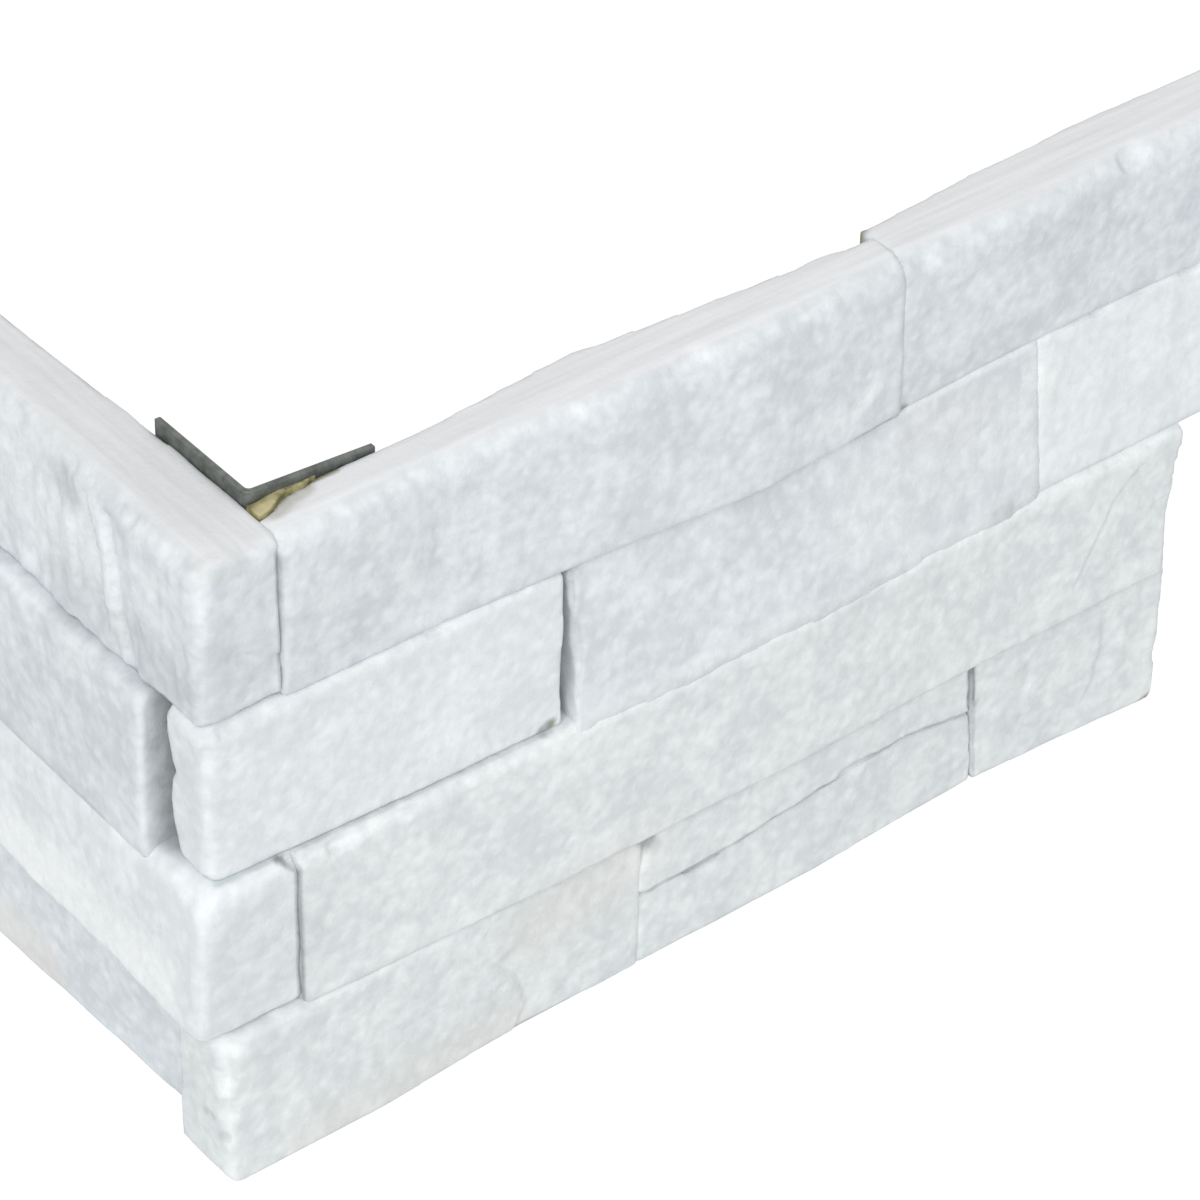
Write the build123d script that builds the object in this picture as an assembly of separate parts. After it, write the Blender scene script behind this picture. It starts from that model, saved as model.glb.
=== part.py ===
from build123d import *
from math import cos, radians, sin
import os

# An outside-corner ledger stone panel. Strips of split-face stone lie in four courses and wrap a
# wall's corner, and a bent steel angle and cured epoxy hold them together inside the corner.
# Millimetres. The origin is where the flat backs of the two wings meet, at the foot. The long
# wing runs along +X with its split faces towards -Y, and the short wing runs along +Y with its
# split faces towards -X. Courses are counted from the foot, 0 to 3.

# Courses
course_height = 38.1
course_count = 4

# Bed depth of each wing, from the flat back to the nominal face
long_bed = 16.2
short_bed = 20.4

# Reach of each wing, from the nominal outer corner to the end of its upper and lower courses
long_reach_upper = 304.8
long_reach_lower = 254.0
short_reach_upper = 152.4
short_reach_lower = 203.2

# Joints along the long wing, measured from the nominal outer corner
top_joint = 173.0
third_gap_start = 86.0
third_gap = 2.6
third_corner_lean = -1.6
third_middle_lean = 1.3
third_joint = 214.0
foot_corner_joint = 106.0
foot_outer_joint = 201.0
foot_joint_lean = 4.0

# The groove between the short wing's third course and the corner stone's back, and how far the
# far ends of the lower courses reach beyond their nominal length
third_groove = 4.5
second_overrun = 3.0
foot_overrun = 2.0

# How far the end of each lapping stone stands back from the other wing's nominal face
top_lap_setback = 4.3
third_lap_setback = 0.8
second_lap_setback = 0.8
foot_lap_setback = -0.6

# Rounding of the ends: shown ends are tumbled, butted ones only just broken. A sawn back edge is
# worn by a share of that. End turns are the directions, in degrees, of an end's sections.
end_radius = 3.0
snug_radius = 1.0
butt_radius = 0.4
back_wear = 0.3
end_turns = (90, 60, 30)

# The hollow scooped out of the second course's far end, right through the stone's thickness. It
# lies deepest near the stone's foot, so the head overhangs.
scoop_radius = 90.0
scoop_depth = 0.5
scoop_height = 10.0
scoop_width = 65.0

# The chip off the upper half-height strip, where it meets the corner stone
chip_width = 6.0
chip_height = 11.0
chip_depth = 2.5

# Heights of the split between the two half-height strips, at even stations
split_levels = (20.0, 21.0, 23.5, 25.5, 21.0)

# The thin steel angle, and the epoxy in the broken corner of the top course
angle_leg = 30.0
angle_gauge = 1.4
angle_bend = 2.4
angle_length = 150.0
angle_proud = 2.8
steel_off_square = 2.1
epoxy_run = 16.0
epoxy_depth = 4.5
epoxy_proud = 0.6

# Split-face relief: how far the face stands proud of the nominal plane at even stations from a
# stone's start to its end, first along its foot and then along its head
top_inner_face = ((-4.0, -4.0, -2.0, 0.8, -2.0), (-3.5, -5.5, -2.5, -1.5, -3.5))
top_outer_face = ((-3.0, -5.0, -5.5, -5.0, -5.0), (-3.5, -1.5, -4.0, -3.0, -3.5))
third_corner_face = ((-4.0, -3.0, -2.0, -1.5), (-4.0, -3.0, -3.5, -3.0))
third_middle_face = ((0.6, 2.3, 2.3, 0.6, -0.3), (-4.0, -3.5, -3.5, -4.0, -5.0))
third_outer_face = ((-1.0, -1.5, -1.0), (-5.0, -5.5, -5.0))
second_face = ((0.5, 2.5, 3.0, 1.7, 1.8), (0.0, 1.0, 2.7, 0.0, 0.0))
foot_corner_face = ((1.8, 2.2, 0.0, -0.2), (1.0, 1.0, 0.5, 0.0))
foot_lower_face = ((-0.4, -0.3, -0.3, -1.7, -2.7), (-0.9, -1.1, -1.3, -1.9, -2.7))
foot_upper_face = ((0.3, 0.6, 0.5, -0.2, -1.2), (0.5, 0.5, 0.0, -0.5, -1.5))
foot_outer_face = ((-2.7, -1.2, 0.8), (-1.5, -0.5, 0.0))
short_top_face = ((-1.0, -1.0, -1.5, -2.0, -2.0), (-1.0, -2.0, -3.4, -3.5, -3.0))
short_third_face = ((3.0, 2.5, 2.0, 2.0), (2.7, 2.2, 1.8, 1.5))
short_second_face = ((5.2, 4.0, 3.8, 3.0, 3.0), (3.0, 1.7, 0.0, 0.0, 0.5))
short_foot_face = ((-6.5, -4.0, -3.4, -3.0), (-6.0, -5.0, -4.5, -4.0))

# Radii of each stone's front edges, tumbled or only broken: at its foot, then at its head
top_inner_arrises = (1.0, 6.0)
top_outer_arrises = (1.0, 6.0)
third_corner_arrises = (1.2, 3.0)
third_middle_arrises = (0.8, 1.5)
third_outer_arrises = (1.0, 1.8)
second_arrises = (1.0, 3.0)
foot_corner_arrises = (0.8, 3.0)
foot_lower_arrises = (0.8, 1.8)
foot_upper_arrises = (1.0, 0.8)
foot_outer_arrises = (0.8, 1.0)
short_top_arrises = (1.0, 6.0)
short_third_arrises = (1.5, 2.5)
short_second_arrises = (3.0, 5.0)
short_foot_arrises = (0.8, 1.0)

# Backs that aren't flat: how far they reach behind the plane of the backs at even stations
flat_back = (0.0, 0.0)
top_inner_back = (0.0, 0.0, 3.0, 0.0, -2.1)
top_outer_back = (1.0, 3.4, 4.5, 4.5, 4.0)
short_top_back = (0.0, 0.0, -1.5, -2.5, -2.5)

# The plane that swaps the wings: a stone built on the long wing is mirrored onto the short one
swap_plane = Plane(origin=(0, 0, 0), x_dir=(1, 1, 0), z_dir=(1, -1, 0))


def along(values, share):
    """The value at a share of a stone's length, between the stations on either side."""
    place = min(max(share, 0), 1) * (len(values) - 1)
    low = min(int(place), len(values) - 2)
    return values[low] + (values[low + 1] - values[low]) * (place - low)


def rounded_end(radius):
    """How far from a stone's end, and how far inside its outline, each rounding section lies."""
    return [(radius * (1 - sin(radians(turn))), radius * (1 - cos(radians(turn)))) for turn in end_turns]


def section(place, foot, head, foot_depth, head_depth, back, arrises):
    """A stone's section across its length: sawn beds and back, and two tumbled front edges."""
    corners = [(back, foot), (-foot_depth, foot), (-head_depth, head), (back, head)]
    edge = FilletPolyline(*corners, radius=arrises)
    face = make_face([edge, Line(edge @ 1, edge @ 0)])
    return Pos(place, 0, 0) * (Plane.YZ * face)


def stone(start, end, feet, heads, bed, relief, back, arrises, radii):
    """A stone of the long wing, lofted through sections at even stations, with rounded ends."""
    length = end - start
    spans = max(len(relief[0]), len(feet), len(back)) - 1
    middle = [(length * i / spans, 0.0) for i in range(1, spans)]
    near_end = rounded_end(radii[0]) + [(radii[0], 0.0)]
    far_end = [(length - run, inset) for run, inset in rounded_end(radii[1]) + [(radii[1], 0.0)]]
    sections = []
    for run, inset in near_end + middle + far_end[::-1]:
        share = run / length
        foot_depth = bed + along(relief[0], share) - inset
        head_depth = bed + along(relief[1], share) - inset
        foot = along(feet, share) + inset
        head = along(heads, share) - inset
        rear = along(back, share) - back_wear * inset
        sections.append(section(start + run, foot, head, foot_depth, head_depth, rear, arrises))
    return loft(sections, ruled=True)


def course_stone(course, start, end, bed, relief, arrises, radii=(butt_radius, butt_radius), back=flat_back):
    """A stone that fills its course's height."""
    foot = course * course_height
    head = foot + course_height
    return stone(start, end, (foot, foot), (head, head), bed, relief, back, arrises, radii)


def leaning_cut(course, run, lean):
    """A cut across the long wing whose foot lies further along it than its head, by the lean."""
    middle = (run - short_bed, 0, (course + 0.5) * course_height)
    return Plane(origin=middle, x_dir=(0, 1, 0), z_dir=(course_height, 0, lean))


def onto_short_wing(body):
    """Swaps X and Y, which carries a stone of the long wing onto the short one."""
    return mirror(body, about=swap_plane)


def broken_corner():
    """The wedge that is missing from the top course behind the corner, and that epoxy fills."""
    foot = (course_count - 1) * course_height
    wedge = Polyline((0, 0), (epoxy_run, 0), (0, -epoxy_depth), close=True)
    return Pos(0, 0, foot) * extrude(make_face(wedge), course_height)


def long_top_inner():
    end = top_joint - short_bed
    body = course_stone(3, 0, end, long_bed, top_inner_face, top_inner_arrises, back=top_inner_back)
    return body - broken_corner()


def long_top_outer():
    start = top_joint - short_bed
    end = long_reach_upper - short_bed
    radii = (butt_radius, end_radius)
    return course_stone(3, start, end, long_bed, top_outer_face, top_outer_arrises, radii, top_outer_back)


def long_third_corner():
    """The stone that laps round the corner, its far end cut at a lean."""
    start = third_lap_setback - short_bed
    end = third_gap_start - third_corner_lean - short_bed
    radii = (end_radius, butt_radius)
    body = course_stone(2, start, end, long_bed, third_corner_face, third_corner_arrises, radii)
    return split(body, bisect_by=leaning_cut(2, third_gap_start, third_corner_lean), keep=Keep.BOTTOM)


def long_third_middle():
    """The middle stone, whose near end leans the other way, so the gap widens downwards."""
    near = third_gap_start + third_gap
    start = near - third_middle_lean - short_bed
    end = third_joint - short_bed
    body = course_stone(2, start, end, long_bed, third_middle_face, third_middle_arrises)
    return split(body, bisect_by=leaning_cut(2, near, third_middle_lean), keep=Keep.TOP)


def long_third_outer():
    start = third_joint - short_bed
    end = long_reach_upper - short_bed
    radii = (butt_radius, end_radius)
    return course_stone(2, start, end, long_bed, third_outer_face, third_outer_arrises, radii)


def long_second():
    """One long stone whose far end is scooped hollow."""
    end = long_reach_lower + second_overrun - short_bed
    body = course_stone(1, 0, end, long_bed, second_face, second_arrises)
    scoop = Rot(90, 0, 0) * Cylinder(scoop_radius, scoop_width)
    axis = long_reach_lower - scoop_depth + scoop_radius - short_bed
    return body - Pos(axis, 0, course_height + scoop_height) * scoop


def long_foot_corner():
    start = foot_lap_setback - short_bed
    end = foot_corner_joint - short_bed
    radii = (end_radius, butt_radius)
    return course_stone(0, start, end, long_bed, foot_corner_face, foot_corner_arrises, radii)


def half_strip(feet, heads, relief, arrises):
    """One of the two half-height strips, cut to the leaning joint."""
    start = foot_corner_joint - short_bed
    end = foot_outer_joint + foot_joint_lean - short_bed
    radii = (butt_radius, butt_radius)
    body = stone(start, end, feet, heads, long_bed, relief, flat_back, arrises, radii)
    return split(body, bisect_by=leaning_cut(0, foot_outer_joint, foot_joint_lean), keep=Keep.BOTTOM)


def long_foot_lower():
    return half_strip((0, 0), split_levels, foot_lower_face, foot_lower_arrises)


def long_foot_upper():
    """The upper strip, with a chip off its head where it meets the corner stone."""
    strip = half_strip(split_levels, (course_height, course_height), foot_upper_face, foot_upper_arrises)
    start = foot_corner_joint - short_bed
    face = -long_bed - max(foot_upper_face[1])
    chip = Polyline((0, 0), (chip_width, 0), (0, -chip_height), close=True)
    notch = extrude(Plane.XZ * make_face(chip), chip_depth)
    return strip - Pos(start, face + chip_depth, course_height) * notch


def long_foot_outer():
    start = foot_outer_joint - foot_joint_lean - short_bed
    end = long_reach_lower + foot_overrun - short_bed
    radii = (butt_radius, snug_radius)
    body = course_stone(0, start, end, long_bed, foot_outer_face, foot_outer_arrises, radii)
    return split(body, bisect_by=leaning_cut(0, foot_outer_joint, foot_joint_lean), keep=Keep.TOP)


def short_top():
    start = top_lap_setback - long_bed
    end = short_reach_upper - long_bed
    radii = (end_radius, end_radius)
    body = course_stone(3, start, end, short_bed, short_top_face, short_top_arrises, radii, short_top_back)
    return onto_short_wing(body)


def short_third():
    end = short_reach_upper - long_bed
    radii = (snug_radius, end_radius)
    body = course_stone(2, third_groove, end, short_bed, short_third_face, short_third_arrises, radii)
    return onto_short_wing(body)


def short_second():
    start = second_lap_setback - long_bed
    end = short_reach_lower - long_bed
    radii = (end_radius, end_radius)
    body = course_stone(1, start, end, short_bed, short_second_face, short_second_arrises, radii)
    return onto_short_wing(body)


def short_foot():
    end = short_reach_lower - long_bed
    radii = (butt_radius, end_radius)
    return onto_short_wing(course_stone(0, 0, end, short_bed, short_foot_face, short_foot_arrises, radii))


def corner_angle():
    """Thin sheet steel bent to a right angle, its outer faces against the stones' backs."""
    outer = FilletPolyline((angle_leg, 0), (0, 0), (0, angle_leg), radius=angle_bend)
    hollow = [(angle_leg, angle_gauge), (angle_gauge, angle_gauge), (angle_gauge, angle_leg)]
    inner = FilletPolyline(*hollow, radius=angle_bend - angle_gauge)
    tips = [Line(outer @ 0, inner @ 0), Line(inner @ 1, outer @ 1)]
    head = course_count * course_height + angle_proud
    body = Pos(0, 0, head - angle_length) * extrude(make_face([outer, inner] + tips), angle_length)
    saw_cut = Plane(origin=(0, 0, head), x_dir=(0, 1, 0), z_dir=(steel_off_square, 0, angle_leg))
    return split(body, bisect_by=saw_cut, keep=Keep.BOTTOM)


def corner_epoxy():
    """The cured epoxy in the broken corner, standing a little over the stones."""
    wedge = broken_corner()
    head = wedge.faces().sort_by(Axis.Z)[-1]
    return wedge + extrude(head, epoxy_proud)


def main():
    parts = {
        "long_strip_top_inner": long_top_inner(),
        "long_strip_top_outer": long_top_outer(),
        "long_strip_third_corner": long_third_corner(),
        "long_strip_third_middle": long_third_middle(),
        "long_strip_third_outer": long_third_outer(),
        "long_strip_second": long_second(),
        "long_strip_foot_corner": long_foot_corner(),
        "long_strip_foot_lower": long_foot_lower(),
        "long_strip_foot_upper": long_foot_upper(),
        "long_strip_foot_outer": long_foot_outer(),
        "short_strip_top": short_top(),
        "short_strip_third": short_third(),
        "short_strip_second": short_second(),
        "short_strip_foot": short_foot(),
        "corner_angle": corner_angle(),
        "corner_epoxy": corner_epoxy(),
    }
    os.makedirs("parts", exist_ok=True)
    for name, body in parts.items():
        export_step(body, f"parts/{name}.step")
        print(name, round(body.volume / 1000, 2), "cm3")


main()
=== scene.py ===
import math
import random
from typing import NamedTuple

import bmesh
import bpy
from bpy.props import FloatProperty, FloatVectorProperty, PointerProperty
from mathutils import Matrix, Vector, kdtree, noise


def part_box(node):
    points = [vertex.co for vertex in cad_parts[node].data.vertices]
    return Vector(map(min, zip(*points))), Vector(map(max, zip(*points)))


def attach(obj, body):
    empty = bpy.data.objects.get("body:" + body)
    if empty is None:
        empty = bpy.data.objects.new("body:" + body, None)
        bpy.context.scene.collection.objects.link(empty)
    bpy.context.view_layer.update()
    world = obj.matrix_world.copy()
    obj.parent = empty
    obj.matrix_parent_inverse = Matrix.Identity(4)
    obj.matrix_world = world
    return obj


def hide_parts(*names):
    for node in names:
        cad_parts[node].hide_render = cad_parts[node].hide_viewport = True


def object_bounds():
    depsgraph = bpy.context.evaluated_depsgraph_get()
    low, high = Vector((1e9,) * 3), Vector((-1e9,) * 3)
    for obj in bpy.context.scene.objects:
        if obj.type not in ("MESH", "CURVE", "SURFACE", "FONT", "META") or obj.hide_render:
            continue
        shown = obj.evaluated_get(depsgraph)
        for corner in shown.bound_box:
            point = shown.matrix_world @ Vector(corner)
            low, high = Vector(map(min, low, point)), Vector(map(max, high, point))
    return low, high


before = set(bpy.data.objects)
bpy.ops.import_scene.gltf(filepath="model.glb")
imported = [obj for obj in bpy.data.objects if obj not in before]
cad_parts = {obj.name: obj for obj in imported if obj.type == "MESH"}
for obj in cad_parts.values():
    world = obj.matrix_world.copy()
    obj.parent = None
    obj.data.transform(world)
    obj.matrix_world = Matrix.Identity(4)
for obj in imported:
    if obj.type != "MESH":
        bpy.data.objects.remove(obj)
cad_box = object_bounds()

bl_info = {
    "name": "Corner ledger stone panel",
    "version": (1, 0, 0),
    "blender": (4, 5, 0),
    "location": "3D View > Sidebar > Ledger Panel",
    "description": "Dresses a corner ledger panel: tumbled split-face stone, steel angle and epoxy",
    "category": "Object",
}

# Lengths below are in millimetres where nothing else is said, and this turns them to metres
MM = 0.001


class Stone(NamedTuple):
    """How one strip was split: its finish, the heights of its waves in millimetres, and how white
    its edges are painted, as tumbling bruise and painted highlight."""
    finish: str
    slot: str
    swell: float
    hummock: float
    layer: float
    flow: float
    bruise_and_highlight: float
    seed: int


# The strips by CAD node. Swells are broad, hummocks finger-wide, layers are cleavage steps, and
# flow is the share of the waves that run up the face as ripples.
STONES = {
    "long_strip_top_inner": Stone("grey_mottled", "grey_white_stone", 0.5, 0.4, 0.0, 0.1, 0.6, 11),
    "long_strip_top_outer": Stone("grey_mottled", "grey_white_stone", 0.5, 0.4, 0.1, 0.1, 0.5, 12),
    "long_strip_third_corner": Stone("milky_white", "pale_stone", 0.4, 0.2, 0.0, 0.0, 0.8, 13),
    "long_strip_third_middle": Stone("grey_mottled", "grey_white_stone", 0.4, 0.4, 0.0, 0.1, 0.4, 14),
    "long_strip_third_outer": Stone("milky_white", "pale_stone", 0.4, 0.3, 0.1, 0.0, 0.6, 15),
    "long_strip_second": Stone("pale_green", "pale_stone", 0.5, 0.3, 0.0, 0.0, 0.8, 16),
    "long_strip_foot_corner": Stone("pale_green", "pale_stone", 0.4, 0.3, 0.1, 0.0, 1.0, 17),
    "long_strip_foot_lower": Stone("pale_green", "pale_stone", 0.4, 0.3, 0.1, 0.0, 0.4, 18),
    "long_strip_foot_upper": Stone("pale_green", "pale_stone", 0.4, 0.3, 0.1, 0.0, 0.4, 19),
    "long_strip_foot_outer": Stone("pale_green", "pale_stone", 0.4, 0.3, 0.1, 0.0, 0.4, 20),
    "short_strip_top": Stone("grey_mottled", "grey_white_stone", 0.6, 0.35, 0.2, 0.9, 0.5, 21),
    "short_strip_third": Stone("grey_mottled", "grey_white_stone", 0.4, 0.35, 0.0, 0.2, 0.5, 22),
    "short_strip_second": Stone("milky_white", "pale_stone", 0.4, 0.25, 0.0, 0.0, 0.6, 23),
    "short_strip_foot": Stone("grey_mottled", "pale_stone", 0.4, 0.3, 0.1, 0.0, 0.4, 24),
}

# Waves of the split faces: the spacing of each kind, and the height of those all strips share
SWELL_SPACING = 26.0
HUMMOCK_SPACING = 7.0
FLOW_STRETCH = 5.0
FLOW_HEIGHT = 0.5
FLOW_BROAD = 0.5
PIT_SPACING = 3.2
PIT_DEPTH = 0.3
PIT_LEVEL = 0.1
GRAIN_SPACING = 1.7
GRAIN_HEIGHT = 0.1
SAW_HEIGHT = 0.06

# Cleavage steps: how many a strip may show, how ragged they run, and where in a level one rises
LAYER_SPACING = 20.0
LAYER_COUNT = 2.5
LAYER_RAGGED = 0.25
STEP_START = 0.42
STEP_SHARE = 0.16

# Tumbled edges: how far they are worn back, how unevenly, and how white they are painted, as tumbling
# bruise and painted highlight
ARRIS_WEAR = 0.6
ARRIS_SPACING = 9.0
ARRIS_EVEN = 0.4
BRUISE_HIGHLIGHT_SPACING = 6.0
BRUISE_HIGHLIGHT_EVEN = 0.75

# Chips: one to so much length, between these sizes, and kept this far from a butted side
CHIP_EVERY = 9.0
CHIP_BITE = (0.25, 0.9)
CHIP_RADIUS = (5, 12)
CHIP_MARGIN = 4.0

# A broken ledge drops over its lip, and fades out at both ends of its line
SCARP_LIP = 0.9
SCARP_FADE = 4

# How a face is told by its normal: where an edge starts to turn and over how much it does so, and
# how far a sawn face may lean before it is a split one
EDGE_TURN, EDGE_BLEND = 0.95, 0.22
SAWN_LEAN, SAWN_BLEND = 0.25, 0.45
FIT_LEAN, FIT_BLEND = 0.15, 0.5

BED_DEPTH = 1.5     # the top course's sawn bed begins so far below its head
FIT_MARGIN = 2.0    # edges stay sharp so near to a butted side
FIT_CALM = 0.85     # share of its waves that a butted side loses
BULGE = 0.7         # a split face may stand so far out of its solid
STAIN_SPREAD = 1.5  # stains fade out at so many times their radius
WELD = 0.001        # corners of a solid's mesh that are closer are one

# Lumps of the epoxy's surface
LUMP_HEIGHT = 0.3
LUMP_SPACING = 3
LUMP_LEVEL = 0.3

# The stage, in metres, and the picture's width in millimetres
FLOOR_HALF = 6.0
KEY_PLACE = (-1.9, -1.85, 2.3)
KEY_SIZE = 2.2
KEY_AIM = (0.08, 0, 0.08)
CAMERA_REACH = 20
SENSOR_WIDTH = 36


class Scarp(NamedTuple):
    """A broken ledge on a face. Its line is given as places along the wing and heights. Seen from
    outside and followed from its start, the face lies deeper on the right by the drop, and comes
    back over the reach."""
    outward: tuple
    line: tuple
    drop: float
    reach: float


OUT_LONG = (0, -1, 0)
OUT_SHORT = (-1, 0, 0)

# Ledges that a wing's split faces show in the photograph
SCARPS = {
    "short_strip_top": [
        Scarp(OUT_LONG, ((-13.5, 131.5), (-7, 129.0), (-3, 126.5), (2, 125.5)), 0.7, 12),
        Scarp(OUT_SHORT, ((12.9, 112.0), (15.4, 120.4), (17.2, 128.3), (19.8, 139.2), (22.9, 148.3)),
              1.5, 9),
        Scarp(OUT_SHORT, ((27.0, 150.0), (23.0, 139.2), (20.0, 128.3), (18.2, 118.0)), 1.2, 9),
        Scarp(OUT_SHORT, ((30.1, 122.0), (32.5, 138.1), (38.6, 149.8)), 1.1, 8),
    ],
    "long_strip_second": [Scarp(OUT_LONG, ((204, 44), (209, 54), (216, 66), (226, 73)), 0.7, 26)],
    "long_strip_foot_corner": [Scarp(OUT_LONG, ((51, -2), (54.8, 6.6), (52.1, 15.3), (46, 22)), 0.8, 20)],
    "long_strip_foot_outer": [
        Scarp(OUT_LONG, ((199, 28), (196, 17), (197.5, 10), (203, 7)), 0.8, 7),
        Scarp(OUT_LONG, ((212, 6), (216, 14), (217.5, 24), (216, 34)), 0.8, 7),
    ],
}


class Fit(NamedTuple):
    """How far a stone's side reaches into its neighbour, or stands off it where negative."""
    side: tuple
    reach: float


FOOT = (0, 0, -1)
HEAD = (0, 0, 1)
NEAR = (-1, 0, 0)
FAR = (1, 0, 0)

# Tightly butted sides, whose joints hardly show, and sides with an open joint
FITS = {
    "long_strip_top_inner": [Fit(FOOT, 0.3), Fit(FAR, 0.7), Fit(NEAR, 0.6)],
    "long_strip_top_outer": [Fit(FOOT, 0.3), Fit(NEAR, 0.7)],
    "long_strip_third_middle": [Fit(FOOT, 3.2), Fit(FAR, 0.6), Fit(HEAD, 0.4)],
    "long_strip_third_outer": [Fit(FOOT, 0.8), Fit(NEAR, 0.6)],
    "long_strip_third_corner": [Fit(FAR, 0.0), Fit(FOOT, 0.0)],
    "long_strip_second": [Fit(FOOT, 0.4), Fit(NEAR, 0.5)],
    "long_strip_foot_corner": [Fit(HEAD, 0.2), Fit(FAR, 0.4), Fit(FOOT, 0.0)],
    "long_strip_foot_upper": [Fit(HEAD, 0.5), Fit(NEAR, 0.4), Fit(FOOT, -0.2)],
    "long_strip_foot_lower": [Fit(HEAD, -0.5), Fit(NEAR, 0.3), Fit(FOOT, 0.0)],
    "long_strip_foot_outer": [Fit(NEAR, -0.6), Fit(HEAD, 0.5), Fit(FOOT, 0.0)],
    "short_strip_third": [Fit(FOOT, 3.2)],
    "short_strip_foot": [Fit(HEAD, 0.3), Fit(FOOT, 0.0)],
}


class Nudge(NamedTuple):
    """Moves the surface near a place, most in its middle. All in millimetres."""
    place: tuple
    radius: float
    push: tuple


# Broken corners, pits and bulges that single stones show
NUDGES = {
    "long_strip_third_corner": [
        Nudge((-19.6, 0, 113), 12, (0, 2.2, 0)), Nudge((-19.6, 0, 99), 3, (0.5, -0.7, 0)),
        Nudge((-19.6, 0, 89), 4, (0, 0.5, 0)), Nudge((-19.6, 0, 78), 9, (0.3, -1.6, 0)),
    ],
    "long_strip_third_middle": [Nudge((69, -17, 76), 16, (-1.8, 0, 0))],
    "long_strip_second": [Nudge((0.5, -19, 75), 4, (1.0, 0.8, -1.0))],
    "short_strip_second": [Nudge((-0.5, -15.2, 76), 4.0, (-1.6, 0.8, -0.8))],
    "long_strip_foot_corner": [
        Nudge((-21, -11.5, 15.7), 2.0, (0.6, 0, 0)), Nudge((-21, -16.5, 12.7), 2.0, (0.7, 0, 0)),
        Nudge((-21, -17, 38), 7, (1.0, 0.6, -0.8)), Nudge((85, -16, 37), 4, (0, 0.6, -0.3)),
    ],
    "long_strip_top_inner": [Nudge((8, -2.3, 152), 6, (-0.3, 1.0, 0))],
    "long_strip_foot_outer": [Nudge((236, -16, 0), 4, (-0.5, 0.4, 0.3))],
}
EPOXY_NUDGE = Nudge((8, -2.3, 153), 6, (-0.3, 1.0, 0))


class Stain(NamedTuple):
    """Something soaked into the stone along a line: from start to end, so wide and so strong."""
    start: tuple
    end: tuple
    radius: float
    strength: float
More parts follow.
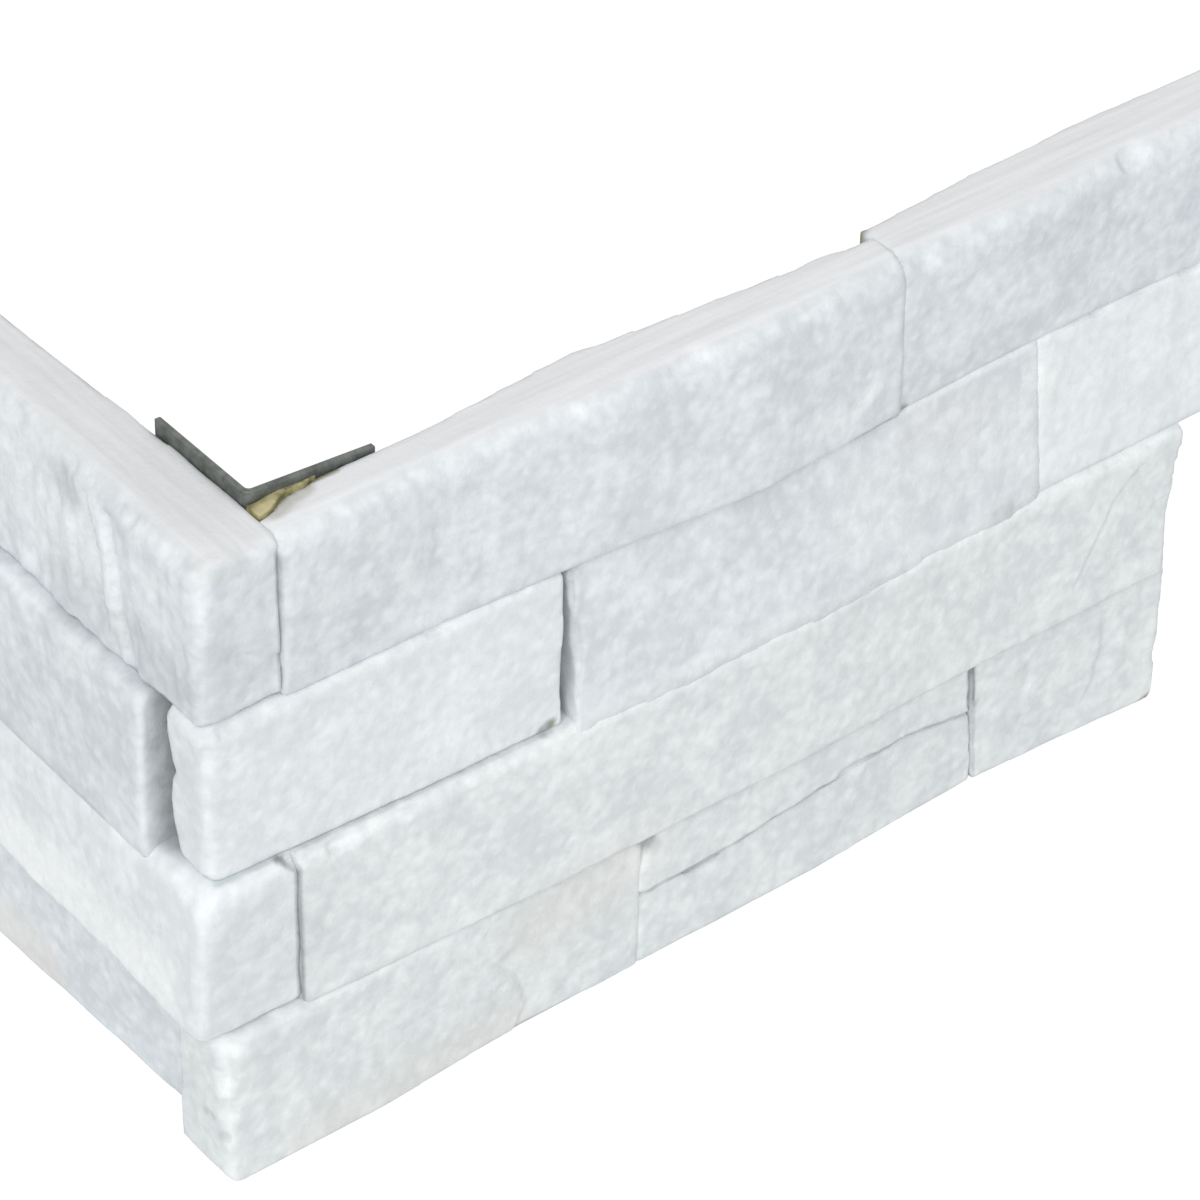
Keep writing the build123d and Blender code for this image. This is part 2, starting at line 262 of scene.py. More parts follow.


# Old glue, faint rust, painted shade in the joints, gaps and crevices and over some faces, white scars,
# and painted highlights on ridges and faces, in millimetres
STAINS = {
    "glue": [
        Stain((151.5, 2.0, 148), (151.5, 2.0, 152), 2.5, 1.0),
        Stain((62.2, -14.5, 77.4), (62.6, -13, 78), 1.0, 0.5),
        Stain((233, -15, 0), (236, -15, 0), 2.2, 1.3), Stain((3, -4.5, 153), (12, -2.0, 153), 2.0, 0.4),
        Stain((14, -0.3, 153), (20, -0.3, 153), 1.2, 1.0),
        Stain((-18, -9, 151), (-10, -12, 152), 3, 0.1),
    ],
    "warm": [
        Stain((60, -16, 28), (80, -16, 32), 12, 0.25), Stain((0, -16, 3), (50, -16, 3), 8, 0.25),
        Stain((-17, 60, 3), (-17, 200, 3), 10, 0.4), Stain((160, -12, 108), (172, -12, 104), 7, 0.15),
    ],
    # Painted shade: grey laid into the joints, gaps, crevices and pits where shadow falls, and faint soft
    # grey over faces that lie in shade
    "painted_shade": [
        Stain((-14, 4.5, 77), (-14, 4.5, 114), 6, 0.6), Stain((68.5, -9, 79), (68.0, -9, 113), 4, 0.3),
        Stain((86, -16, 20), (110, -16, 21), 0.9, 0.8),
        Stain((110, -16, 21), (134, -16, 23.5), 1.0, 1.1),
        Stain((134, -16, 23.5), (158, -16, 25.2), 1.2, 1.3),
        Stain((158, -16, 25.2), (182, -16, 21), 1.2, 1.3),
        Stain((178.6, -15, 37), (182.6, -15, 0), 1.1, 0.8),
        Stain((181, -15, 24), (179, -15, 20), 1.2, 0.5),
        Stain((-18, -12.3, 76.2), (10, -13.2, 76.2), 0.6, 0.25),
        Stain((10, -13.2, 76.2), (62, -14.6, 76.2), 0.6, 0.2),
        Stain((-0.6, -15.8, 39), (-0.6, -15.7, 73.5), 0.95, 0.8),
        Stain((-0.9, -15.6, 73.5), (-4.0, -13.2, 76.2), 0.85, 0.8),
        Stain((-4.0, -13.0, 76.2), (-3.6, -13.0, 76.2), 0.85, 0.9),
        Stain((-1, -17, 38.2), (1, -18, 38.2), 1.0, 0.6),
        Stain((60, -14.5, 77.2), (62.5, -14, 78), 1.3, 0.8),
        Stain((150, -12.5, 114.8), (155, -12, 114.8), 1.1, 1.3),
        Stain((-0.4, -12, 149), (-0.6, -12, 115), 0.8, 0.5),
        Stain((-19.5, 33, 144), (-19.5, 36, 147), 4, 0.4),
        Stain((-21, -11.5, 15.7), (-21, -10.5, 15.7), 1.4, 0.4),
        Stain((-21, -16.5, 12.7), (-21, -15.5, 12.7), 1.4, 0.4),
        Stain((86, -15, 36), (89, -15, 33), 2.2, 0.5),
        Stain((130, -14, 114.3), (150, -14, 114.3), 0.9, 0.7),
        Stain((181, -17, 77.5), (185, -17, 77.5), 1.6, 0.3),
        Stain((-12, -12, 132), (-12, -12, 122), 12, 0.13),
        Stain((-20, -4, 122), (-20, 34, 120), 8, 0.24), Stain((8, -14, 120), (26, -14, 138), 14, 0.09),
        Stain((-12, -17, 50), (-8, -17, 60), 13, 0.12), Stain((-22, 20, 95), (-22, 120, 95), 20, 0.10),
        Stain((-24, 10, 60), (-24, 120, 62), 9, 0.07),
        Stain((-19.6, -6, 84), (-19.6, -6, 110), 7, 0.12), Stain((-21, -8, 8), (-21, -8, 30), 8, 0.06),
        Stain((-10, 10, 152), (-10, 140, 152), 12, 0.11),
    ],
    # White scars, with painted highlight: the bright line along the short top strip's ridge and broad
    # lighter patches on some faces
    "scar_and_highlight": [
        Stain((139, -14, 121), (145, -14, 125), 2.0, 0.9),
        Stain((194.5, -12, 100), (194.5, -12, 113), 3.0, 0.7),
        Stain((80, -16, 37), (85, -16, 31), 2.5, 0.8), Stain((58, -16, 6), (63, -16, 14), 3.5, 0.5),
        Stain((70, -14, 113), (100, -14, 113.8), 1.2, 0.9),
        Stain((150, -12, 113.4), (195, -12, 113.8), 1.0, 0.8),
        Stain((70, -18, 77), (190, -16, 77), 3, 0.4),
        Stain((-19, 15.4, 120), (-19, 22.9, 148), 1.2, 0.7),
        Stain((-23, 0, 47), (-23, 110, 44), 8, 0.8), Stain((-19, 30, 138), (-19, 90, 140), 12, 0.5),
        Stain((165, -17, 74), (225, -17, 75), 2.0, 0.5),
        Stain((145, -16, 95), (190, -16, 95), 14, 0.35), Stain((205, -14, 95), (280, -14, 95), 20, 0.3),
    ],
}


def linear(hex_colour):
    """An sRGB hex colour as the linear colour that shaders and properties hold."""
    channels = [int(hex_colour[i:i + 2], 16) / 255 for i in (1, 3, 5)]
    return tuple(c / 12.92 if c <= 0.04045 else ((c + 0.055) / 1.055) ** 2.4 for c in channels)


def ease(share):
    """A smooth rise from 0 to 1 as the share goes from 0 to 1."""
    share = min(max(share, 0.0), 1.0)
    return share * share * (3 - 2 * share)


def add_node(tree, kind, inputs=None, **settings):
    """Adds a node, sets its properties, and fills or links its inputs. Returns the node."""
    node = tree.nodes.new(kind)
    for name, value in settings.items():
        setattr(node, name, value)
    for socket, value in (inputs or {}).items():
        target = node.inputs[socket]
        if isinstance(value, bpy.types.NodeSocket):
            tree.links.new(value, target)
        else:
            target.default_value = value
    return node


def new_material(name):
    """An empty node material, and its node tree."""
    material = bpy.data.materials.new(name)
    material.use_nodes = True
    material.node_tree.nodes.clear()
    return material, material.node_tree


def solid_copy(node_name):
    """A welded copy of a CAD node's mesh."""
    bm = bmesh.new()
    bm.from_mesh(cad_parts[node_name].data)
    bmesh.ops.remove_doubles(bm, verts=bm.verts, dist=WELD * MM)
    return bm


def even_skin(bm, pitch, rounds):
    """Covers closed shapes with one even mesh and smooths it. The pitch is in metres."""
    mesh = bpy.data.meshes.new("blank")
    bm.to_mesh(mesh)
    bm.free()
    blank = bpy.data.objects.new("blank", mesh)
    bpy.context.scene.collection.objects.link(blank)
    skin = blank.modifiers.new("skin", "REMESH")
    skin.mode = "VOXEL"
    skin.voxel_size = pitch
    soft = blank.modifiers.new("soft", "SMOOTH")
    soft.factor = 0.5
    soft.iterations = rounds
    skinned = bmesh.new()
    skinned.from_object(blank, bpy.context.evaluated_depsgraph_get())
    bpy.data.objects.remove(blank)
    bpy.data.meshes.remove(mesh)
    return skinned


def add_piece(bm, name, material, slot, *replaced):
    """Makes a smooth-shaded piece that rides the part and stands for the CAD nodes named."""
    for face in bm.faces:
        face.smooth = True
    mesh = bpy.data.meshes.new(name)
    bm.to_mesh(mesh)
    bm.free()
    mesh.materials.append(material)
    piece = bpy.data.objects.new(name, mesh)
    bpy.context.scene.collection.objects.link(piece)
    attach(piece, "root")
    if replaced:
        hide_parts(*replaced)
    return piece


def split_waves(place, stone, shift):
    """Height in mm of a split face's own waves at a place given in mm."""
    spot = place + shift
    swell = stone.swell * noise.noise(spot / SWELL_SPACING)
    hummock = stone.hummock * noise.noise(spot / HUMMOCK_SPACING)
    upright = Vector((spot.x, spot.y, spot.z / FLOW_STRETCH))
    fine, broad = noise.noise(upright / PIT_SPACING), noise.noise(upright / HUMMOCK_SPACING)
    ripple = stone.flow * (fine + FLOW_BROAD * broad)
    pits = -PIT_DEPTH * max(noise.noise(spot / PIT_SPACING) - PIT_LEVEL, 0.0)
    grain = GRAIN_HEIGHT * noise.noise(spot / GRAIN_SPACING)
    height = swell + hummock + ripple * FLOW_HEIGHT + pits + grain
    if stone.layer:
        level = (LAYER_COUNT * noise.noise(spot / LAYER_SPACING)
                 + LAYER_RAGGED * noise.noise(spot / HUMMOCK_SPACING))
        low = math.floor(level)
        height += stone.layer * (low + ease((level - low - STEP_START) / STEP_SHARE))
    return height


def scarp_depth(across, height, scarp):
    """How far in mm the broken ledge lowers a face, at a place on the face as seen from outside."""
    sign = -1 if scarp.outward == OUT_SHORT else 1
    line = [(sign * along, level) for along, level in scarp.line]
    spans = [math.dist(start, end) for start, end in zip(line, line[1:])]
    nearest, right, travel, passed = scarp.reach, 0.0, 0.0, 0.0
    for (u, v), (u_end, v_end), length in zip(line, line[1:], spans):
        du, dv = (u_end - u) / length, (v_end - v) / length
        run = min(max((across - u) * du + (height - v) * dv, 0.0), length)
        distance = math.hypot(across - u - run * du, height - v - run * dv)
        if distance < nearest:
            nearest = distance
            right = math.copysign(distance, (across - u) * dv - (height - v) * du)
            travel = passed + run
        passed += length
    if right <= 0:
        return 0.0
    ends = ease(travel / SCARP_FADE) * ease((sum(spans) - travel) / SCARP_FADE)
    return scarp.drop * ends * ease(right / SCARP_LIP) * (1 - right / scarp.reach)


def nudge(bm, nudges):
    """Pushes the surface near each given place."""
    for place, radius, push in nudges:
        for vert in bm.verts:
            share = ease(1 - (vert.co / MM - Vector(place)).length / radius)
            if share > 0:
                vert.co += Vector(push) * share * MM


def stains_near(kind, low, high):
    """The stains of one kind that reach into a box, as vectors in millimetres."""
    near = []
    for start, end, radius, strength in STAINS[kind]:
        margin = STAIN_SPREAD * radius
        clear = any(max(a, b) + margin < least or min(a, b) - margin > most
                    for a, b, least, most in zip(start, end, low, high))
        if not clear:
            line = Vector(end) - Vector(start)
            near.append((Vector(start), line, max(line.length_squared, 1e-6), radius, strength))
    return near


def stained(place, stains):
    """How strong the given stains are at a place."""
    strongest = 0.0
    for start, line, length_squared, radius, strength in stains:
        share = min(max((place - start).dot(line) / length_squared, 0.0), 1.0)
        distance = (place - start - share * line).length
        if distance < STAIN_SPREAD * radius:
            strongest = max(strongest, strength * ease(STAIN_SPREAD - distance / radius))
    return min(strongest, 1.0)


def chip_edges(bm, arris, rng, count):
    """Scoops small conchoidal chips out of the worn edges."""
    tree = kdtree.KDTree(len(bm.verts))
    for index, vert in enumerate(bm.verts):
        tree.insert(vert.co, index)
    tree.balance()
    bm.verts.ensure_lookup_table()
    for _ in range(count):
        struck = rng.choice(arris)
        bite = rng.uniform(*CHIP_BITE) ** 1.5 * MM
        radius = rng.uniform(*CHIP_RADIUS) * MM
        centre = struck.co + struck.normal * (radius - bite)
        for _spot, index, _distance in tree.find_range(struck.co, math.sqrt(2.5 * radius * bite)):
            vert = bm.verts[index]
            inside = radius - (vert.co - centre).length
            if inside > 0:
                vert.co += (vert.co - centre).normalized() * inside


def dress_stone(bm, name, stone):
    """Gives the even skin of a strip its split faces, sawn beds and tumbled edges."""
    short_wing = name.startswith("short")
    low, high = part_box(name)
    low, high = Vector(low), Vector(high)
    top_bed = (high.z / MM - BED_DEPTH) if "_top" in name else math.inf
    kinds = ("worn_and_highlit", "sawn", "bed", "short_wing", *STAINS)
    layers = {kind: bm.verts.layers.float.new(kind) for kind in kinds}
    worn_and_highlit, sawn, bed = (layers[kind] for kind in ("worn_and_highlit", "sawn", "bed"))
    rng = random.Random(stone.seed)
    shift = Vector([rng.uniform(-500, 500) for _ in range(3)])
    nudge(bm, NUDGES.get(name, []))
    bm.normal_update()
    fits = [(Vector(side), reach, (high if max(side) > 0 else low) / MM)
            for side, reach in FITS.get(name, [])]
    arris = []
    for vert in bm.verts:
        x, y, z = vert.normal
        outward, lengthwise = (-x, y) if short_wing else (-y, x)
        vert[worn_and_highlit] = ease((EDGE_TURN - max(abs(x), abs(y), abs(z))) / EDGE_BLEND)
        vert[sawn] = 1 - ease((max(outward, abs(lengthwise)) - SAWN_LEAN) / SAWN_BLEND)
        vert[bed] = vert[sawn] if outward < -0.5 or vert.co.z / MM > top_bed else 0.0
        butted = any((corner - vert.co / MM).dot(side) < CHIP_MARGIN for side, _reach, corner in fits)
        if vert[worn_and_highlit] > 0.8 and outward > 0.4 and not butted:
            arris.append(vert)
    chip_edges(bm, arris, rng, int((high - low).length / (CHIP_EVERY * MM)))
    scarps = SCARPS.get(name, [])
    soaked = {kind: stains_near(kind, low / MM, high / MM) for kind in STAINS}
    for vert in bm.verts:
        place = vert.co / MM
        split = 1 - vert[sawn]
        rise = SAW_HEIGHT * noise.noise(place / GRAIN_SPACING)
        if split > 0.01:
            rise += split * split_waves(place, stone, shift)
        pressed = [ease((vert.normal.dot(side) - FIT_LEAN) / FIT_BLEND) for side, _reach, _corner in fits]
        rise *= 1 - FIT_CALM * max(pressed, default=0)
        free = min([1.0] + [ease((corner - place).dot(side) / FIT_MARGIN)
                            for side, _reach, corner in fits])
        vert[worn_and_highlit] *= free
        if vert[worn_and_highlit] > 0.01:
            rise -= ARRIS_WEAR * vert[worn_and_highlit] * (ARRIS_EVEN + noise.noise((place + shift) / ARRIS_SPACING))
        for scarp in scarps:
            if vert.normal.dot(Vector(scarp.outward)) > 0.5:
                across = -place.y if scarp.outward == OUT_SHORT else place.x
                rise -= scarp_depth(across, place.z, scarp)
        move = vert.normal * rise
        # Edge whiteness for the colour: tumbling bruise and painted highlight on the rounded edges
        vert[worn_and_highlit] *= stone.bruise_and_highlight * (BRUISE_HIGHLIGHT_EVEN + noise.noise((place - shift) / BRUISE_HIGHLIGHT_SPACING))
        for (side, reach, _corner), share in zip(fits, pressed):
            move += side * reach * share
        vert[layers["short_wing"]] = float(short_wing)
        for kind, stains in soaked.items():
            vert[layers[kind]] = stained(place, stains)
        # Scars and painted highlights whiten the surface like the edges
        vert[worn_and_highlit] = max(vert[worn_and_highlit], vert[layers["scar_and_highlight"]])
        vert.co += move * MM
    keep_within(bm, name, short_wing, low, high)


def keep_within(bm, name, short_wing, low, high):
    """Holds a strip to its own beds and ends, but for its fits, and within the panel's box."""
    slack = {side: max(reach, 0) * MM for side, reach in FITS.get(name, [])}
    low = low - Vector((0 if short_wing else slack.get(NEAR, 0), 0, slack.get(FOOT, 0)))
    high = high + Vector((0 if short_wing else slack.get(FAR, 0), 0, slack.get(HEAD, 0)))
    bulge = BULGE * MM
    for vert in bm.verts:
        co = vert.co
        co.z = min(max(co.z, low.z), high.z)
        if short_wing:
            co.y = min(max(co.y, low.y), high.y)
            co.x = min(max(co.x, low.x - bulge, cad_box[0][0]), high.x)
        else:
            co.x = min(max(co.x, low.x), high.x)
            co.y = min(max(co.y, low.y - bulge, cad_box[0][1]), high.y)


def blend(tree, share, first, second):
    """The colour between two, as far as the share says."""
    colours = {6: first if isinstance(first, bpy.types.NodeSocket) else (*first, 1),
               7: second if isinstance(second, bpy.types.NodeSocket) else (*second, 1)}
    return add_node(tree, "ShaderNodeMix", {0: share, **colours}, data_type="RGBA").outputs[2]


def stone_material(name, pale, grey, settings):
    """Split and tumbled quartzite: milky and dull, with faint grey clouds, crystal mottles of a
    few millimetres, edges painted whiter as tumbling bruise and painted highlight, and painted
    shade in the joints and crevices."""
    material, tree = new_material(name)
    place = add_node(tree, "ShaderNodeTexCoord").outputs["Object"]
    cloud = add_node(tree, "ShaderNodeTexNoise",
                     {"Vector": place, "Scale": 1 / (16 * MM), "Detail": 3.0}).outputs[0]
    mottle = add_node(tree, "ShaderNodeTexNoise",
                      {"Vector": place, "Scale": 1 / (3.4 * MM), "Detail": 3.0,
                       "Roughness": 0.55}).outputs[0]
    crystal = add_node(tree, "ShaderNodeTexNoise",
                       {"Vector": place, "Scale": 1 / (1.0 * MM), "Detail": 2.0,
                        "Roughness": 0.6}).outputs[0]
    drift = add_node(tree, "ShaderNodeTexNoise",
                     {"Vector": place, "Scale": 1 / (5 * MM), "Detail": 1.0}).outputs[1]
    bent = add_node(tree, "ShaderNodeVectorMath", {0: drift, 1: (4 * MM, 4 * MM, 4 * MM), 2: place},
                    operation="MULTIPLY_ADD").outputs[0]
    blob = add_node(tree, "ShaderNodeTexVoronoi",
                    {"Vector": bent, "Scale": 1 / (3.0 * MM), "Smoothness": 0.5},
                    feature="SMOOTH_F1").outputs[0]
    grown = add_node(tree, "ShaderNodeMath", {0: cloud, 1: mottle}, operation="ADD").outputs[0]
    patches = add_node(tree, "ShaderNodeMath", {0: blob, 1: 0.45, 2: grown},
                       operation="MULTIPLY_ADD").outputs[0]
    share = add_node(tree, "ShaderNodeMapRange",
                     {"Value": patches, "From Min": 0.88, "From Max": 1.44}).outputs[0]
    body = blend(tree, share, pale, grey)
    bed_share = add_node(tree, "ShaderNodeAttribute", attribute_name="bed").outputs["Fac"]
    wing = add_node(tree, "ShaderNodeAttribute", attribute_name="short_wing").outputs["Fac"]
    long_way, wide_way = 1 / (30 * MM), 1 / (1.6 * MM)
    stretch = add_node(tree, "ShaderNodeMix",
                       {0: wing, 4: (long_way, wide_way, wide_way), 5: (wide_way, long_way, wide_way)},
                       data_type="VECTOR").outputs[1]
    drawn = add_node(tree, "ShaderNodeVectorMath", {0: place, 1: stretch},
                     operation="MULTIPLY").outputs[0]
    streak = add_node(tree, "ShaderNodeTexNoise",
                      {"Vector": drawn, "Scale": 1.0, "Detail": 2.0}).outputs[0]
    streak_share = add_node(tree, "ShaderNodeMapRange",
                            {"Value": streak, "From Min": 0.3, "From Max": 0.75}).outputs[0]
    marked = blend(tree, streak_share, settings.sawn, settings.saw_mark)
    colour = blend(tree, bed_share, body, marked)
    # Rounded edges painted whiter: tumbling bruise and painted highlight
    wear_and_highlight = add_node(tree, "ShaderNodeAttribute", attribute_name="worn_and_highlit").outputs["Fac"]
    bruise_and_highlight = add_node(tree, "ShaderNodeMath", {0: wear_and_highlight, 1: crystal}, operation="MULTIPLY").outputs[0]
    colour = blend(tree, bruise_and_highlight, colour, settings.bruised_and_highlit)
    # Warm and glue are the stone's own stains; the second kind blended here is painted shade in the
    # joints, gaps and crevices
    for kind, stain in (("warm", settings.warm), ("painted_shade", settings.painted_shade), ("glue", settings.glue)):
        soaked = add_node(tree, "ShaderNodeAttribute", attribute_name=kind).outputs["Fac"]
        uneven = add_node(tree, "ShaderNodeMath", {0: mottle, 1: 0.5}, operation="ADD").outputs[0]
        stain_share = add_node(tree, "ShaderNodeMath", {0: soaked, 1: uneven}, operation="MULTIPLY",
                               use_clamp=True).outputs[0]
        colour = blend(tree, stain_share, colour, stain)
    grit = add_node(tree, "ShaderNodeMath", {0: mottle, 1: crystal}, operation="ADD").outputs[0]
    bump = add_node(tree, "ShaderNodeBump",
                    {"Strength": 0.4, "Distance": 0.25 * MM, "Height": grit}).outputs[0]
    shader = add_node(tree, "ShaderNodeBsdfPrincipled",
                      {"Base Color": colour, "Roughness": 0.75, "IOR": 1.5, "Normal": bump}).outputs[0]
    add_node(tree, "ShaderNodeOutputMaterial", {"Surface": shader})
    return material


def steel_material(settings):
    """Mild steel sheet with thin mill scale: dull grey, clouded darker where the scale is thicker."""
    material, tree = new_material("mild steel, thin mill scale")
    place = add_node(tree, "ShaderNodeTexCoord").outputs["Object"]
    scale = add_node(tree, "ShaderNodeTexNoise",
                     {"Vector": place, "Scale": 1 / (2.5 * MM), "Detail": 5.0,
                      "Roughness": 0.65}).outputs[0]
    share = add_node(tree, "ShaderNodeMapRange",
                     {"Value": scale, "From Min": 0.35, "From Max": 0.65}).outputs[0]
    colour = blend(tree, share, settings.sheet, settings.mill_scale)
    bump = add_node(tree, "ShaderNodeBump",
                    {"Strength": 0.3, "Distance": 0.1 * MM, "Height": scale}).outputs[0]
    shader = add_node(tree, "ShaderNodeBsdfPrincipled",
                      {"Base Color": colour, "Metallic": 0.85, "Roughness": 0.5,
                       "Normal": bump}).outputs[0]
    add_node(tree, "ShaderNodeOutputMaterial", {"Surface": shader})
    return material


def epoxy_material(settings):
    """Cured stone epoxy: yellowish and half dull, clouded with darker olive."""
    material, tree = new_material("cured stone epoxy")
    place = add_node(tree, "ShaderNodeTexCoord").outputs["Object"]
    cloud = add_node(tree, "ShaderNodeTexNoise",
                     {"Vector": place, "Scale": 1 / (4 * MM), "Detail": 3.0}).outputs[0]
    share = add_node(tree, "ShaderNodeMapRange",
                     {"Value": cloud, "From Min": 0.4, "From Max": 0.62}).outputs[0]
    colour = blend(tree, share, settings.thin, settings.thick)
    shader = add_node(tree, "ShaderNodeBsdfPrincipled",
                      {"Base Color": colour, "Roughness": 0.4, "IOR": 1.55}).outputs[0]
    add_node(tree, "ShaderNodeOutputMaterial", {"Surface": shader})
    return material


class StoneSettings(bpy.types.PropertyGroup):
    pitch: FloatProperty(name="Mesh pitch", description="Edge length of the stones' surface mesh",
                         default=0.8 * MM, min=0.5 * MM, unit="LENGTH")
    grey_pale: FloatVectorProperty(name="Grey stone, light",
                                   description="Light colour of the grey-white strips",
                                   default=linear("#E1E6E9"), size=3, subtype="COLOR")
    grey_dark: FloatVectorProperty(name="Grey stone, cloud",
                                   description="Cloud colour of the grey-white strips",
                                   default=linear("#CCD2D6"), size=3, subtype="COLOR")
    milky_pale: FloatVectorProperty(name="Milky stone, light",
                                    description="Light colour of the milky strips",
                                    default=linear("#E8EDEF"), size=3, subtype="COLOR")
    milky_dark: FloatVectorProperty(name="Milky stone, cloud",
                                    description="Cloud colour of the milky strips",
                                    default=linear("#D8DEE0"), size=3, subtype="COLOR")
    green_pale: FloatVectorProperty(name="Greenish stone, light",
                                    description="Light colour of the greenish strips",
                                    default=linear("#E6EAEB"), size=3, subtype="COLOR")
    green_dark: FloatVectorProperty(name="Greenish stone, cloud",
                                    description="Cloud colour of the greenish strips",
                                    default=linear("#D2D8D9"), size=3, subtype="COLOR")
    sawn: FloatVectorProperty(name="Sawn faces", description="Colour of the sawn beds and backs",
                              default=linear("#E6E8EA"), size=3, subtype="COLOR")
    saw_mark: FloatVectorProperty(name="Saw marks",
                                  description="Colour of the blade's marks on the sawn faces",
                                  default=linear("#DBDCDD"), size=3, subtype="COLOR")
    # Whiter colour of the rounded edges: tumbling bruise and painted highlight
    bruised_and_highlit: FloatVectorProperty(name="Bruised edges", description="Colour of the tumbled edges",
                                 default=linear("#F2F4F4"), size=3, subtype="COLOR")
    warm: FloatVectorProperty(name="Warm stain", description="Colour of the faint rust in the stone",
                              default=linear("#DDD7D1"), size=3, subtype="COLOR")
    # Colour of the painted shade laid into the joints, gaps and crevices
    painted_shade: FloatVectorProperty(name="Painted_shade", description="Colour of the grime in the joints",
                               default=linear("#8F9496"), size=3, subtype="COLOR")
    glue: FloatVectorProperty(name="Glue stain",
                              description="Colour of the glue that has soaked into the stone",
                              default=linear("#77724A"), size=3, subtype="COLOR")


class SteelSettings(bpy.types.PropertyGroup):
    sheet: FloatVectorProperty(name="Sheet", description="Colour of the clean steel sheet",
                               default=linear("#7E827E"), size=3, subtype="COLOR")
    mill_scale: FloatVectorProperty(name="Mill scale", description="Colour of the steel's mill scale",
                                    default=linear("#5E625D"), size=3, subtype="COLOR")
    edge: FloatProperty(name="Edge break", description="Bevel on the sheared edges",
                        default=0.2 * MM, min=0, unit="LENGTH")


class EpoxySettings(bpy.types.PropertyGroup):
    pitch: FloatProperty(name="Mesh pitch", description="Edge length of the epoxy's surface mesh",
                         default=0.4 * MM, min=0.2 * MM, unit="LENGTH")
    thin: FloatVectorProperty(name="Light epoxy", description="Light colour of the clouded epoxy",
                              default=linear("#BDB387"), size=3, subtype="COLOR")
    thick: FloatVectorProperty(name="Dark epoxy", description="Dark colour of the clouded epoxy",
                               default=linear("#6B6A42"), size=3, subtype="COLOR")


class StageSettings(bpy.types.PropertyGroup):
    azimuth: FloatProperty(name="Azimuth",
                           description="Direction the camera looks in, from +Y towards +X",
                           default=math.radians(39.33), subtype="ANGLE")
    elevation: FloatProperty(name="Elevation", description="How far the camera looks down",
                             default=math.radians(38.52), subtype="ANGLE")
    roll: FloatProperty(name="Roll", description="Turn of the camera about its view line",
                        default=math.radians(-1.49), subtype="ANGLE")
    distance: FloatProperty(name="Distance", description="From the camera to the point it aims at",
                            default=956.6 * MM, unit="LENGTH")
    aim: FloatVectorProperty(name="Aim", description="Point in the middle of the picture",
                             default=(72.6 * MM, -16.2 * MM, 105.8 * MM), size=3, unit="LENGTH")
    lens: FloatProperty(name="Focal length", description="In millimetres, for a 36 mm wide picture",
                        default=145.2)
    surround: FloatProperty(name="Surround", description="Strength of the even light from all round",
                            default=0.66, min=0)
    key: FloatProperty(name="Key lamp",
                       description="Power of the large lamp above the corner, in watts", default=69.0,
                       min=0)


class LEDGER_OT_stones(bpy.types.Operator):
    """Dresses every strip with its split face, sawn beds and tumbled edges"""

    bl_idname = "ledger.stones"
    bl_label = "Stone strips"

    def execute(self, context):
        settings = context.scene.ledger_stone
        finishes = {
            "grey_mottled": stone_material("grey-white quartzite", settings.grey_pale,
                                           settings.grey_dark, settings),
            "milky_white": stone_material("milky quartzite", settings.milky_pale,
                                          settings.milky_dark, settings),
            "pale_green": stone_material("greenish quartzite", settings.green_pale,
                                         settings.green_dark, settings),
        }
        pitch = settings.pitch
        for name, stone in STONES.items():
            bm = even_skin(solid_copy(name), pitch, rounds=2)
            dress_stone(bm, name, stone)
            add_piece(bm, name.replace("strip", "stone"), finishes[stone.finish], stone.slot, name)
        return {"FINISHED"}


class LEDGER_OT_steel_angle(bpy.types.Operator):
    """Adds the bent steel angle inside the corner, with broken edges"""

    bl_idname = "ledger.steel_angle"
    bl_label = "Steel angle"

    def execute(self, context):
        settings = context.scene.ledger_steel
        bm = solid_copy("corner_angle")
        bmesh.ops.dissolve_limit(bm, angle_limit=math.radians(1), verts=bm.verts, edges=bm.edges)
        sharp = [edge for edge in bm.edges if edge.calc_face_angle(0) > math.radians(50)]
        bmesh.ops.bevel(bm, geom=sharp, affect="EDGES", offset=settings.edge, segments=2,
                        profile=0.5, material=-1)
        add_piece(bm, "bent_angle", steel_material(settings), "steel", "corner_angle")
        return {"FINISHED"}


class LEDGER_OT_epoxy(bpy.types.Operator):
    """Adds the cured epoxy in the broken corner"""

    bl_idname = "ledger.epoxy"
    bl_label = "Epoxy"

    def execute(self, context):
        settings = context.scene.ledger_epoxy
        bm = even_skin(solid_copy("corner_epoxy"), settings.pitch, rounds=2)
        nudge(bm, [EPOXY_NUDGE])
        bm.normal_update()
        for vert in bm.verts:
            lump = noise.noise(vert.co / (LUMP_SPACING * MM)) - LUMP_LEVEL
            vert.co += vert.normal * LUMP_HEIGHT * MM * lump
        add_piece(bm, "epoxy_fill", epoxy_material(settings), "epoxy", "corner_epoxy")
        return {"FINISHED"}


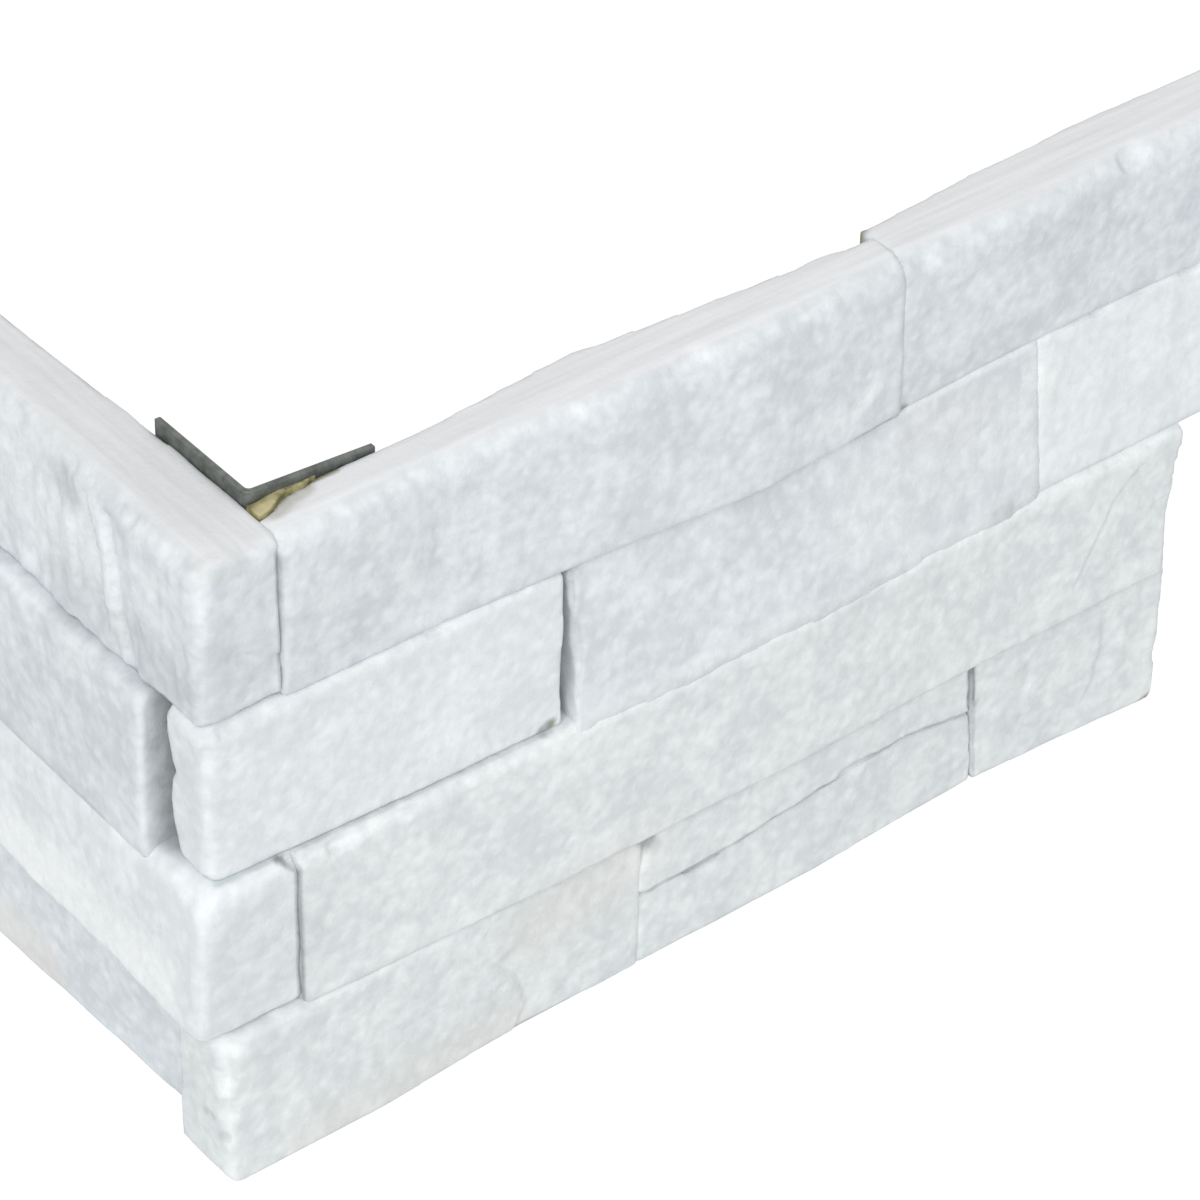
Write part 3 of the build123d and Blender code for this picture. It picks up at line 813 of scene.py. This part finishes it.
class LEDGER_OT_stage(bpy.types.Operator):
    """Adds the pale floor, the soft light and the camera at the photograph's angle"""

    bl_idname = "ledger.stage"
    bl_label = "Stage"

    def execute(self, context):
        stage = context.scene.ledger_stage
        self.add_floor()
        self.light_surround(context.scene, stage.surround)
        self.add_lamp("key", KEY_PLACE, KEY_SIZE, stage.key)
        self.add_camera(context.scene, stage)
        context.scene.view_settings.view_transform = "Standard"
        return {"FINISHED"}

    def seen_plainly(self, tree):
        """1 for rays of the camera and for those that metal and glass send back, 0 for others."""
        rays = add_node(tree, "ShaderNodeLightPath").outputs
        either = add_node(tree, "ShaderNodeMath", {0: rays["Is Camera Ray"], 1: rays["Is Glossy Ray"]},
                          operation="MAXIMUM").outputs[0]
        return add_node(tree, "ShaderNodeMath", {0: either, 1: rays["Is Transmission Ray"]},
                        operation="MAXIMUM").outputs[0]

    def add_floor(self):
        material, tree = new_material("white paper floor")
        plain = add_node(tree, "ShaderNodeBsdfDiffuse", {"Color": (0.8, 0.8, 0.8, 1)}).outputs[0]
        faint = add_node(tree, "ShaderNodeBsdfDiffuse", {"Color": (0.32, 0.32, 0.32, 1)}).outputs[0]
        white = add_node(tree, "ShaderNodeEmission", {"Color": (1, 1, 1, 1), "Strength": 0.8}).outputs[0]
        lifted = add_node(tree, "ShaderNodeAddShader", {0: faint, 1: white}).outputs[0]
        seen = add_node(tree, "ShaderNodeMixShader",
                        {0: self.seen_plainly(tree), 1: plain, 2: lifted}).outputs[0]
        add_node(tree, "ShaderNodeOutputMaterial", {"Surface": seen})
        bm = bmesh.new()
        bmesh.ops.create_grid(bm, x_segments=1, y_segments=1, size=FLOOR_HALF)
        mesh = bpy.data.meshes.new("floor")
        bm.to_mesh(mesh)
        bm.free()
        mesh.materials.append(material)
        floor = bpy.data.objects.new("floor", mesh)
        bpy.context.scene.collection.objects.link(floor)

    def light_surround(self, scene, strength):
        world = bpy.data.worlds.new("white surround")
        world.use_nodes = True
        tree = world.node_tree
        tree.nodes.clear()
        even = add_node(tree, "ShaderNodeBackground",
                        {"Color": (1, 1, 1, 1), "Strength": strength}).outputs[0]
        white = add_node(tree, "ShaderNodeBackground",
                         {"Color": (1, 1, 1, 1), "Strength": 1.0}).outputs[0]
        seen = add_node(tree, "ShaderNodeMixShader",
                        {0: self.seen_plainly(tree), 1: even, 2: white}).outputs[0]
        add_node(tree, "ShaderNodeOutputWorld", {"Surface": seen})
        scene.world = world

    def add_lamp(self, name, place, size, power):
        data = bpy.data.lights.new(name, "AREA")
        data.size = size
        data.energy = power
        lamp = bpy.data.objects.new(name, data)
        lamp.location = place
        ahead = Vector(KEY_AIM) - Vector(place)
        lamp.rotation_euler = ahead.to_track_quat("-Z", "Y").to_euler()
        bpy.context.scene.collection.objects.link(lamp)

    def add_camera(self, scene, stage):
        data = bpy.data.cameras.new("camera")
        data.lens = stage.lens
        data.sensor_width = SENSOR_WIDTH
        data.clip_end = CAMERA_REACH
        camera = bpy.data.objects.new("camera", data)
        scene.collection.objects.link(camera)
        az, el, roll = stage.azimuth, stage.elevation, stage.roll
        ahead = Vector((math.sin(az) * math.cos(el), math.cos(az) * math.cos(el), -math.sin(el)))
        right = Vector((math.cos(az), -math.sin(az), 0))
        down = ahead.cross(right)
        across = math.cos(roll) * right + math.sin(roll) * down
        up = math.sin(roll) * right - math.cos(roll) * down
        turn = Matrix((across, up, -ahead)).transposed()
        stand = Vector(stage.aim) - stage.distance * ahead
        camera.matrix_world = Matrix.Translation(stand) @ turn.to_4x4()
        scene.camera = camera


OPERATORS = (LEDGER_OT_stones, LEDGER_OT_steel_angle, LEDGER_OT_epoxy, LEDGER_OT_stage)
GROUPS = {"ledger_stone": StoneSettings, "ledger_steel": SteelSettings, "ledger_epoxy": EpoxySettings,
          "ledger_stage": StageSettings}


class LEDGER_PT_panel(bpy.types.Panel):
    bl_idname = "LEDGER_PT_panel"
    bl_label = "Ledger panel"
    bl_space_type = "VIEW_3D"
    bl_region_type = "UI"
    bl_category = "Ledger Panel"

    def draw(self, context):
        for operator in OPERATORS:
            self.layout.operator(operator.bl_idname)
        for group, kind in GROUPS.items():
            box = self.layout.box()
            for name in kind.__annotations__:
                box.prop(getattr(context.scene, group), name)


CLASSES = (*GROUPS.values(), *OPERATORS, LEDGER_PT_panel)


def register():
    for cls in CLASSES:
        bpy.utils.register_class(cls)
    for group, kind in GROUPS.items():
        setattr(bpy.types.Scene, group, PointerProperty(type=kind))


def unregister():
    for group in GROUPS:
        delattr(bpy.types.Scene, group)
    for cls in reversed(CLASSES):
        bpy.utils.unregister_class(cls)


def main():
    register()
    bpy.ops.ledger.stones()
    bpy.ops.ledger.steel_angle()
    bpy.ops.ledger.epoxy()
    bpy.ops.ledger.stage()


if __name__ == "__main__":
    main()
